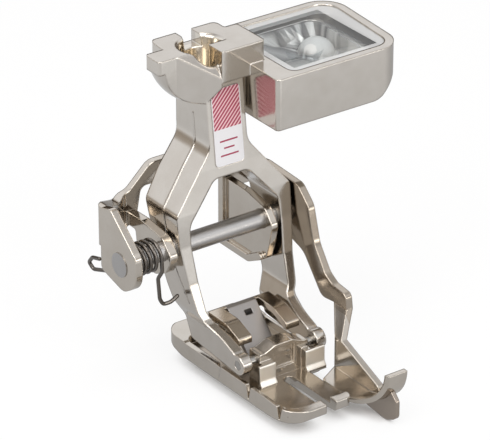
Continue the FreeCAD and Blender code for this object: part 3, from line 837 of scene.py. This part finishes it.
@dataclass
class Reflector:
    """Facetted bowl with a dome in it, sizes in millimetres.

    Attributes:
        facets: Number of facets round the dome.
        fine: Points along each facet.
        corner: Corner radius of the outline.
        squareness: What the corner radius divides to sharpen the outline.
        lip: Width of the flat lip.
        heel: Share of the outline left for one flat face under the tray.
        inner_r: Radius of the bowl's floor.
        waist: How far out the waist ring lies between floor and lip, as a share.
        waist_drop: Depth of the waist ring below the lip.
        floor_drop: Depth of the floor below the lip.
        ripple: Rise and fall of the waist ring from facet to facet.
        floor_ripple: Share of that ripple left at the floor.
        dome_r: Radius that the dome is drawn in from.
        dome_foot: Share of that radius at the dome's foot.
        dome_drop: Depth of the dome's top below the lip.
        dome_tip: Radius of the dome's last ring.
        dome_rows: Rings of the dome, with its top.
        shift: How far the dome lies from the tray's middle.
    """

    facets: int = 11
    fine: int = 4
    corner: float = 1.62
    squareness: float = 14.0
    lip: float = 0.30
    heel: float = 0.02
    inner_r: float = 2.75
    waist: float = 0.50
    waist_drop: float = 1.6
    floor_drop: float = 2.2
    ripple: float = 0.55
    floor_ripple: float = 0.3
    dome_r: float = 2.6
    dome_foot: float = 0.92
    dome_drop: float = 0.15
    dome_tip: float = 0.03
    dome_rows: int = 8
    shift: tuple[float, float] = (3.3, 1.7)

    def outline(self, turn: np.ndarray, half: np.ndarray) -> np.ndarray:
        """Distance from the middle to a rounded rectangle's edge along each turn.

        The edge is where the larger of |cos| / half width and |sin| / half depth meets
        one, drawn in near the corners by a power mean that rounds them.

        Args:
            turn: Angles.
            half: Half width and half depth.

        Returns:
            One distance for each angle.
        """
        power = 2.0 + self.squareness / self.corner
        across = np.abs(np.cos(turn)) / half[0]
        along = np.abs(np.sin(turn)) / half[1]
        return (across ** power + along ** power) ** (-1.0 / power)

    def make(self) -> bpy.types.Object:
        """Closed tray: flat lip, two rows of tilted facets, flat ring, dome and walls.

        Rings of points go round the middle at the facets' angles, and their centres
        move over to the dome's on the way down.  The waist ring's height swings by the
        ripple in a triangle wave two facets long, so that each facet tilts.  The dome's
        rings are r cos(t) wide and rise by sin(t) of the height between floor and top.

        Returns:
            The tray.
        """
        low, high = (np.array(c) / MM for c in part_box("reflector_tray"))
        middle = (low + high) / 2.0
        half = (high - low)[:2] / 2.0
        count = self.facets * self.fine
        turn = (np.arange(count) + 0.5) * 2.0 * np.pi / count
        rim = self.outline(turn, half - self.lip)
        wall = self.outline(turn, half)
        swing = np.abs((np.arange(count) / (2.0 * self.fine)) % 1.0 - 0.5) * 4.0 - 1.0
        level = np.ones(count)
        rings = [(wall * self.heel, low[2] * level), (wall, low[2] * level),
                 (wall, high[2] * level), (rim, high[2] * level),
                 (rim * self.waist + self.inner_r * (1.0 - self.waist),
                  high[2] - self.waist_drop + self.ripple * swing),
                 (self.inner_r * level,
                  high[2] - self.floor_drop + self.floor_ripple * self.ripple * swing)]
        flat_bands = len(rings)
        tilt = np.linspace(0.0, np.pi / 2.0, self.dome_rows)[:-1]
        rise = self.floor_drop - self.dome_drop
        rings += [(self.dome_r * self.dome_foot * np.cos(t) * level,
                   (high[2] - self.floor_drop + rise * np.sin(t)) * level) for t in tilt]
        rings.append((self.dome_tip * level, (high[2] - self.dome_drop) * level))
        outer = [0.0, 0.0, 0.0, 0.0, 1.0 - self.waist]
        moved = outer + [1.0] * (len(rings) - len(outer))
        points = np.stack([np.stack([middle[0] + self.shift[0] * m + r * np.cos(turn),
                                     middle[1] + self.shift[1] * m + r * np.sin(turn), z], 1)
                           for m, (r, z) in zip(moved, rings)])
        made = mesh_object("reflector_facets", points.reshape(-1, 3) * MM,
                           ring_faces(len(rings), count))
        shut(made)
        smooth = np.zeros(len(made.data.polygons), bool)
        smooth[flat_bands * count:(len(rings) - 1) * count] = True
        made.data.polygons.foreach_set("use_smooth", smooth)
        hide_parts("reflector_tray")
        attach(made, Body.FOOT.value)
        return made


@dataclass
class Foot:
    """Casting with its label, lens cover, reflector and sole pin."""

    def dress(self, dressing: Dressing) -> None:
        """Finishes the fixed pieces.

        Args:
            dressing: Keeper of the materials.
        """
        f = dressing.finishes
        dressing.node("foot_body", f.casting)
        dressing.node("label_plate", f.label)
        dressing.node("lens_cover", f.lens)
        dressing.node("reflector_tray", f.tray)
        dressing.paint(Reflector().make(), f.tray)
        dressing.node("sole_pivot_pin", f.pin)


@dataclass
class Sole:
    """Sole plate and its leaf spring."""

    def dress(self, dressing: Dressing) -> None:
        """Finishes the tilting pieces.

        Args:
            dressing: Keeper of the materials.
        """
        dressing.node("sole_plate", dressing.finishes.sole)
        dressing.node("sole_leaf_spring", dressing.finishes.leaf)


@dataclass
class Guide:
    """Yoke, fin, hinge shaft and the wound spring, sizes in millimetres.

    Attributes:
        wire_r: Radius of the wire.
        wire_sides: Points round the wire.
        wire_gap: Air between the wire and the plate.
        coil_r: Radius of the coils at the wire's middle.
        turns: Number of coils.
        turn_points: Points on each coil.
        pitch: Distance from coil to coil.
        first_x: Where the coils start.
        shaft_y: Shaft's distance behind the needle point.
        shaft_z: Shaft's height.
        plate_out: Outer face of the left plate.
        sheet: Thickness of the plate.
        route_points: Points along the whole wire.
        smoothing: Points that a corner is rounded over, an odd number.
    """

    wire_r: float = 0.26
    wire_sides: int = 14
    wire_gap: float = 0.05
    coil_r: float = 1.95
    turns: int = 4
    turn_points: int = 48
    pitch: float = 0.80
    first_x: float = -15.0
    shaft_y: float = 13.6
    shaft_z: float = 16.5
    plate_out: float = -16.4
    sheet: float = 1.0
    route_points: int = 900
    smoothing: int = 15

    def spring_path(self) -> np.ndarray:
        """Hook round the plate, coils on the shaft and a hooked leg by the fork.

        The coils run x = x0 + pitch t, y and z on a circle of the coil radius at angle
        2 pi t.  Straight runs before and after are corner points that a smoothing
        average rounds off, after the whole route is sampled at one even spacing.

        Returns:
            Points of the wire's centreline, in metres.
        """
        beside = self.plate_out + self.sheet + self.wire_r + self.wire_gap
        before = np.array([(self.plate_out + 0.2, 18.4, 15.2), (self.plate_out + 0.3, 20.3, 14.6),
                           (self.plate_out + 0.5, 21.4, 13.4), (self.plate_out + 0.7, 20.7, 12.6),
                           (beside, 18.6, 13.1),
                           (self.first_x - 0.10, self.shaft_y + self.coil_r * 1.15,
                            self.shaft_z - 1.4)])
        t = np.linspace(0.0, self.turns + 0.5, self.turn_points * self.turns)
        coil = np.stack([self.first_x + self.pitch * t,
                         self.shaft_y + self.coil_r * np.cos(2 * np.pi * t),
                         self.shaft_z + self.coil_r * np.sin(2 * np.pi * t)], 1)
        end_x = self.first_x + self.pitch * self.turns
        after = np.array([(end_x + 0.5, self.shaft_y - self.coil_r + 0.1, self.shaft_z - 1.8),
                          (-11.5, 12.4, 13.6), (-11.0, 12.8, 10.3), (-10.5, 12.8, 9.4),
                          (-9.5, 12.6, 9.5), (-8.4, 12.6, 10.1)])
        route = np.concatenate([before, coil, after])
        length = np.concatenate([[0.0], np.cumsum(np.linalg.norm(np.diff(route, axis=0), axis=1))])
        even = np.linspace(0.0, length[-1], self.route_points)
        path = np.stack([np.interp(even, length, route[:, i]) for i in range(3)], 1)
        kernel = np.hanning(self.smoothing)
        kernel /= kernel.sum()
        reach = self.smoothing // 2
        padded = np.pad(path, ((reach, reach), (0, 0)), "edge")
        smooth = np.stack([np.convolve(padded[:, i], kernel, "valid") for i in range(3)], 1)
        return (smooth - SOCKET) * MM

    def make_spring(self) -> bpy.types.Object:
        """Wound torsion spring in round wire.

        Returns:
            The spring.
        """
        spring = tube("spring_wire_wound", self.spring_path(), self.wire_r * MM,
                      self.wire_sides)
        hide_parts("torsion_spring")
        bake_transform(spring)
        return spring

    def dress(self, dressing: Dressing) -> None:
        """Finishes the guide and winds its spring.

        Args:
            dressing: Keeper of the materials.
        """
        f = dressing.finishes
        dressing.node("guide_yoke", f.sheet)
        dressing.node("guide_fin", f.fin)
        dressing.node("hinge_shaft", f.shaft)
        dressing.node("torsion_spring", f.wire)
        dressing.paint(self.make_spring(), f.wire)


# Studio


FLOOR_NEAR: Stops = ((0.0, "#A9ABAE"), (0.10, "#B5B8BC"), (0.20, "#CDD1D6"),
                     (0.34, "#E4E8EE"), (0.46, "#C9C8C8"))
"""Grey paper near the foot, bright in the lights' reach."""
ROOM_TOP: Stops = ((0.90, "#D6D8DC"), (0.96, "#8A8784"), (1.0, "#6E6861"))
"""Top of the tent, which darkens straight overhead."""


@dataclass(frozen=True)
class Side:
    """One side of the room: a horizontal unit direction, and the cosines to it at which
    its share leaves nought and is full.
    """

    way: tuple[float, float]
    start: float
    full: float

    def share(self, n: Nodes, way: bpy.types.NodeSocket) -> bpy.types.NodeSocket:
        """How far a direction points to this side.

        Args:
            n: Tree the nodes go into.
            way: Socket of the unit direction.

        Returns:
            Socket from nought to one.
        """
        along = n.vector("DOT_PRODUCT", way, (*self.way, 0.0))
        return n.span(along, (self.start, self.full), smooth=True)


@dataclass(frozen=True)
class SoftBox:
    """Soft box aimed at the middle of the foot, in degrees, millimetres and watts.

    The azimuth is 0 in front of the foot and positive to its right.
    """

    name: str
    azimuth: float
    elevation: float
    distance: float
    size: tuple[float, float]
    power: float


@dataclass
class Studio:
    """White floor, soft boxes, room and the camera; lengths in millimetres.

    The plate mirrors the floor by its distance from the foot and the room by its height,
    each on a ramp.  One ramp holds all round, one in front at the right, where the pale
    tent is, and one behind at the left.

    Attributes:
        floor_z: Height of the floor from the needle point's zero.
        target: Point the camera looks at.
        azimuth: Camera's direction, degrees.
        elevation: Camera's height, degrees.
        distance: Camera's distance.
        focal_px: Focal length in pixels of the photograph.
        width_px: Width of the photograph in pixels.
        floor_half_m: Half width of the floor in metres.
        floor_reach: Distance at which the floor's ramps end.
        floor_middle: Point that the distance is taken from.
        floor_paper: Share of plain paper in what the plate mirrors.
        floor_glow: Share of plain white in what the camera sees.
        floor_strength: Brightness of the floor in the plate.
        room_strength: Brightness of the room in the plate.
        contact_mm: Reach of the contact shadow.
        contact_open: Openness at which the shadow begins and ends.
        front: Side with the pale tent.
        behind: Side behind at the left.
        flag: Side where a flag keeps the light off the floor.
        flag_left: Share of the floor's brightness left there.
        card: Middle of a white card on the floor in front.
        card_mm: Distances at which the card is full and gone.
        card_gain: Brightness the card adds.
        boxes: The soft boxes.
        floor_stops: Floor's ramps all round, in front and behind at the left.
        room_stops: Room's ramps in the same order, from straight down to straight up.
    """

    floor_z: float = -1.55
    target: tuple[float, float, float] = (-0.7776841, 8.69464981, 20.16360449)
    azimuth: float = -35.5
    elevation: float = 27.5
    distance: float = 437.5
    focal_px: float = 3500.0
    width_px: float = 490.0
    floor_half_m: float = 1.5
    floor_reach: float = 400.0
    floor_middle: tuple[float, float] = (0.0, 6.0)
    floor_paper: float = 0.20
    floor_glow: float = 0.86
    floor_strength: float = 1.1
    room_strength: float = 1.2
    contact_mm: float = 3.0
    contact_open: tuple[float, float] = (0.30, 0.72)
    front: Side = Side((0.56, -0.83), 0.25, 0.85)
    behind: Side = Side((-0.67, 0.74), 0.80, 0.96)
    flag: Side = Side((0.95, 0.30), 0.45, 0.95)
    flag_left: float = 0.50
    card: tuple[float, float] = (40.0, -78.0)
    card_mm: tuple[float, float] = (9.0, 24.0)
    card_gain: float = 0.9
    boxes: tuple[SoftBox, ...] = (
        SoftBox("key_box", -75.0, 38.0, 420.0, (260.0, 260.0), 0.7),
        SoftBox("front_box", 8.0, 30.0, 520.0, (220.0, 320.0), 0.8),
        SoftBox("top_box", 0.0, 86.0, 420.0, (300.0, 300.0), 0.75),
        SoftBox("low_strip", 30.0, 5.5, 520.0, (180.0, 70.0), 0.09))
    floor_stops: tuple[Stops, Stops, Stops] = (
        (*FLOOR_NEAR, (0.56, "#7C746C"), (0.66, "#463B31"), (1.0, "#2C241D")),
        ((0.0, "#B0B2B5"), (0.10, "#B9BCC0"), (0.20, "#CACED3"), (0.34, "#F0F4FA"),
         (0.70, "#F4F8FE"), (0.90, "#C8C8C8"), (1.0, "#9C948C")),
        (*FLOOR_NEAR, (0.70, "#B4AEA7"), (1.0, "#A39B92")))
    room_stops: tuple[Stops, Stops, Stops] = (
        ((0.0, "#8A8580"), (0.50, "#33291F"), (0.575, "#4C3F33"), (0.63, "#A8A29B"),
         (0.69, "#EEF0F4"), (0.80, "#F6F9FF"), *ROOM_TOP),
        ((0.0, "#8A8580"), (0.50, "#E4E2E0"), (0.53, "#FFFFFF"), (0.59, "#FFFFFF"),
         (0.635, "#B2B3B6"), (0.67, "#BABCC0"), (0.71, "#DCDEE2"), (0.84, "#ECEFF4"),
         *ROOM_TOP),
        ((0.0, "#8A8580"), (0.50, "#A39B92"), (0.63, "#B2ACA5"), (0.69, "#EEF0F4"),
         (0.80, "#F6F9FF"), *ROOM_TOP))

    def stand(self, made: bpy.types.Object, azimuth: float, elevation: float,
              distance: float) -> None:
        """Puts a camera or lamp round the foot and turns it to the foot's middle.

        Args:
            made: The camera or lamp, linked to the scene here.
            azimuth: Degrees, 0 in front of the foot and positive to its right.
            elevation: Degrees above the horizon.
            distance: Distance in millimetres.
        """
        bpy.context.scene.collection.objects.link(made)
        a, e = math.radians(azimuth), math.radians(elevation)
        way = Vector((math.sin(a) * math.cos(e), -math.cos(a) * math.cos(e), math.sin(e)))
        made.location = Vector(row(*self.target)) + way * distance * MM
        made.rotation_mode = "QUATERNION"
        made.rotation_quaternion = (-way).to_track_quat("-Z", "Y")

    def camera(self) -> None:
        """Camera at the photograph's angle, with a long lens."""
        data = bpy.data.cameras.new("camera")
        data.sensor_width = 36.0
        data.lens = self.focal_px / self.width_px * data.sensor_width
        data.clip_start, data.clip_end = 0.01, 10.0
        made = bpy.data.objects.new("camera", data)
        self.stand(made, self.azimuth, self.elevation, self.distance)
        bpy.context.scene.camera = made

    def lamp(self, box: SoftBox) -> None:
        """One soft box.

        Args:
            box: Its place, size and power.
        """
        data = bpy.data.lights.new(box.name, "AREA")
        data.shape = "RECTANGLE"
        data.size, data.size_y = box.size[0] * MM, box.size[1] * MM
        data.energy = box.power
        made = bpy.data.objects.new(box.name, data)
        self.stand(made, box.azimuth, box.elevation, box.distance)

    def tones(self, n: Nodes, place: bpy.types.NodeSocket, way: bpy.types.NodeSocket,
              ramps: tuple[Stops, Stops, Stops]) -> bpy.types.NodeSocket:
        """Colour of floor or room in a direction.

        Args:
            n: Tree the nodes go into.
            place: Socket that the ramps are read at.
            way: Socket of the unit direction.
            ramps: Ramps all round, in front and behind at the left.

        Returns:
            The colour's socket.
        """
        shown = n.ramp(place, ramps[0])
        for side, stops in zip((self.front, self.behind), ramps[1:]):
            shown = n.mix(side.share(n, way), shown, n.ramp(place, stops))
        return shown

    def paper(self) -> bpy.types.Material:
        """White paper that keeps a faint shadow.

        The camera sees it white, less so close under the foot.  Mirrors see the ramps,
        dimmer to the right, where a flag keeps the light off, and brightest where a
        white card lies in front.

        Returns:
            The material.
        """
        n = Nodes("white paper floor")
        to_camera = n.add("LightPath").outputs["Is Camera Ray"]
        where = n.add("TexCoord").outputs["Object"]
        shelter = n.add("AmbientOcclusion", {"samples": 12}, Distance=self.contact_mm * MM)
        bare = n.span(shelter.outputs["AO"], self.contact_open)
        white = n.maths("MULTIPLY", n.maths("MULTIPLY", to_camera, self.floor_glow), bare)
        away = n.vector("DISTANCE", where, tuple(row(*self.floor_middle, self.floor_z)))
        reach = n.span(away, (0.0, self.floor_reach * MM))
        way = n.vector("NORMALIZE", where)
        flagged = n.span(self.flag.share(n, way), (0.0, 1.0),
                         (self.floor_strength, self.floor_strength * self.flag_left))
        off = n.vector("DISTANCE", where, tuple(row(*self.card, self.floor_z)))
        card = n.span(off, [place * MM for place in self.card_mm], (self.card_gain, 0.0), True)
        far = n.add("Emission", Color=self.tones(n, reach, way, self.floor_stops),
                    Strength=n.maths("ADD", flagged, card)).outputs[0]
        plain = n.add("BsdfDiffuse", Color="#E4E2E0").outputs[0]
        glow = n.add("Emission", Color="#FFFFFF", Strength=1.0).outputs[0]
        mirrored = n.mix_shader(self.floor_paper, far, plain)
        seen = n.mix_shader(to_camera, mirrored, plain)
        return n.finish(n.mix_shader(white, seen, glow))

    def floor(self) -> None:
        """Wide flat floor under the foot, a grid of nine points in the plane."""
        u, v = np.meshgrid(np.linspace(-1.0, 1.0, 3), np.linspace(-1.0, 1.0, 3))
        base = row(0.0, 0.0, self.floor_z)
        points = np.stack([base[0] + u.ravel() * self.floor_half_m,
                           base[1] + v.ravel() * self.floor_half_m,
                           np.full(u.size, base[2])], 1)
        faces = np.array([[0, 1, 4, 3], [1, 2, 5, 4], [3, 4, 7, 6], [4, 5, 8, 7]])
        made = mesh_object("studio_floor", points, faces)
        made.data.materials.append(self.paper())

    def ambient(self) -> None:
        """World: white to the camera; a pale tent with a dark brown horizon to mirrors."""
        world = bpy.data.worlds.new("studio room")
        bpy.context.scene.world = world
        n = Nodes(world.name, world)
        way = n.add("TexCoord").outputs["Generated"]
        height = n.span(n.add("SeparateXYZ", Vector=way).outputs["Z"], (-1.0, 1.0))
        room = n.add("Background", Color=self.tones(n, height, way, self.room_stops),
                     Strength=self.room_strength)
        white = n.add("Background", Color="#FFFFFF", Strength=1.0)
        to_camera = n.add("LightPath").outputs["Is Camera Ray"]
        n.finish(n.mix_shader(to_camera, room.outputs[0], white.outputs[0]))

    def build(self) -> None:
        """Sets the whole studio up."""
        bpy.context.scene.view_settings.view_transform = "Standard"
        self.floor()
        self.ambient()
        for box in self.boxes:
            self.lamp(box)
        self.camera()
        LOG.info("studio set")


def main() -> None:
    """Builds the looks piece by piece."""
    logging.basicConfig(level=logging.INFO, format="%(message)s")
    for left in list(bpy.data.objects):
        bpy.data.objects.remove(left)
    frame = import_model()
    dressing = Dressing(frame)
    Foot().dress(dressing)
    Sole().dress(dressing)
    Guide().dress(dressing)
    Studio().build()


if __name__ == "__main__":
    main()
